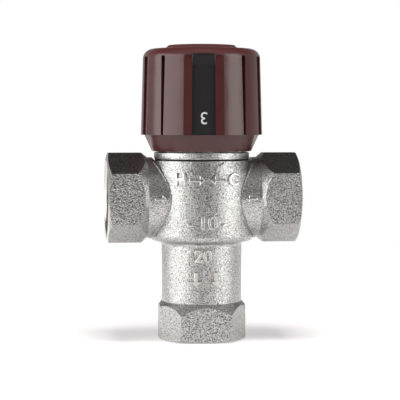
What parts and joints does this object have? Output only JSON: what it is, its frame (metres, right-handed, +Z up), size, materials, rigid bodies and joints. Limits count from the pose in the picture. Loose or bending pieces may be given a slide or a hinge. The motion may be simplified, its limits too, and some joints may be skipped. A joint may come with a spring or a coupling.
{
  "type": "thermostatic mixing valve",
  "caption": "Forged three-port mixing valve with female threads, a screwed bonnet and a ribbed setting knob.",
  "frame": {"origin": "centre of the mixed-water outlet's end face, on which the valve stands", "axes": "+Z up along the stem to the knob, -X out of the hot inlet, +X out of the cold inlet, -Y the front"},
  "size_m": [0.0686, 0.0422, 0.1053],
  "materials": {
    "plated_forging": "nickel plated, shot blasted",
    "plated_turned": "nickel plated, turned",
    "turned_brass": "turned, bare",
    "spring_steel": "drawn wire",
    "steel_fastener": "zinc plated",
    "black_rubber": "moulded",
    "red_fibre": "pressed fibre",
    "brown_plastic": "moulded, satin",
    "white_plastic": "machined",
    "copper_bulb": "drawn copper"
  },
  "bodies": {
    "housing": {"valve_body": "plated_forging", "bonnet": "plated_turned", "bonnet_gasket": "red_fibre", "hot_seat": "turned_brass", "cold_seat": "turned_brass", "glide_washer": "white_plastic", "return_spring": "spring_steel"},
    "knob_group": {"knob": "brown_plastic", "knob_cap": "brown_plastic", "knob_screw": "steel_fastener", "screw_washer": "steel_fastener", "spindle": "turned_brass", "spindle_seal_lower": "black_rubber", "spindle_seal_upper": "black_rubber", "spindle_circlip": "spring_steel"},
    "nut_group": {"travel_nut": "turned_brass", "nut_clip": "spring_steel", "spring_plate": "steel_fastener", "overload_spring": "spring_steel", "piston_pin": "steel_fastener"},
    "element_group": {"wax_element": "copper_bulb", "shuttle": "white_plastic", "shuttle_seal": "black_rubber"}
  },
  "joints": [
    {"name": "knob_turn", "type": "hinge", "parent": "housing", "child": "knob_group", "pos_m": [0, 0, 0.09], "axis": [0, 0, 1], "range_deg": [-150, 150]},
    {"name": "nut_travel", "type": "slide", "parent": "housing", "child": "nut_group", "axis": [0, 0, 1], "range_m": [-0.00084, 0.00084], "deforming": ["return_spring"]},
    {"name": "wax_stroke", "type": "slide", "parent": "nut_group", "child": "element_group", "axis": [0, 0, 1], "range_m": [-0.0007, 0.0003], "stiffness_N_per_m": 5000, "deforming": ["return_spring"]}
  ],
  "couplings": [
    {"joint": "nut_travel", "follows": "knob_turn", "m_per_rad": 0.00031831}
  ]
}
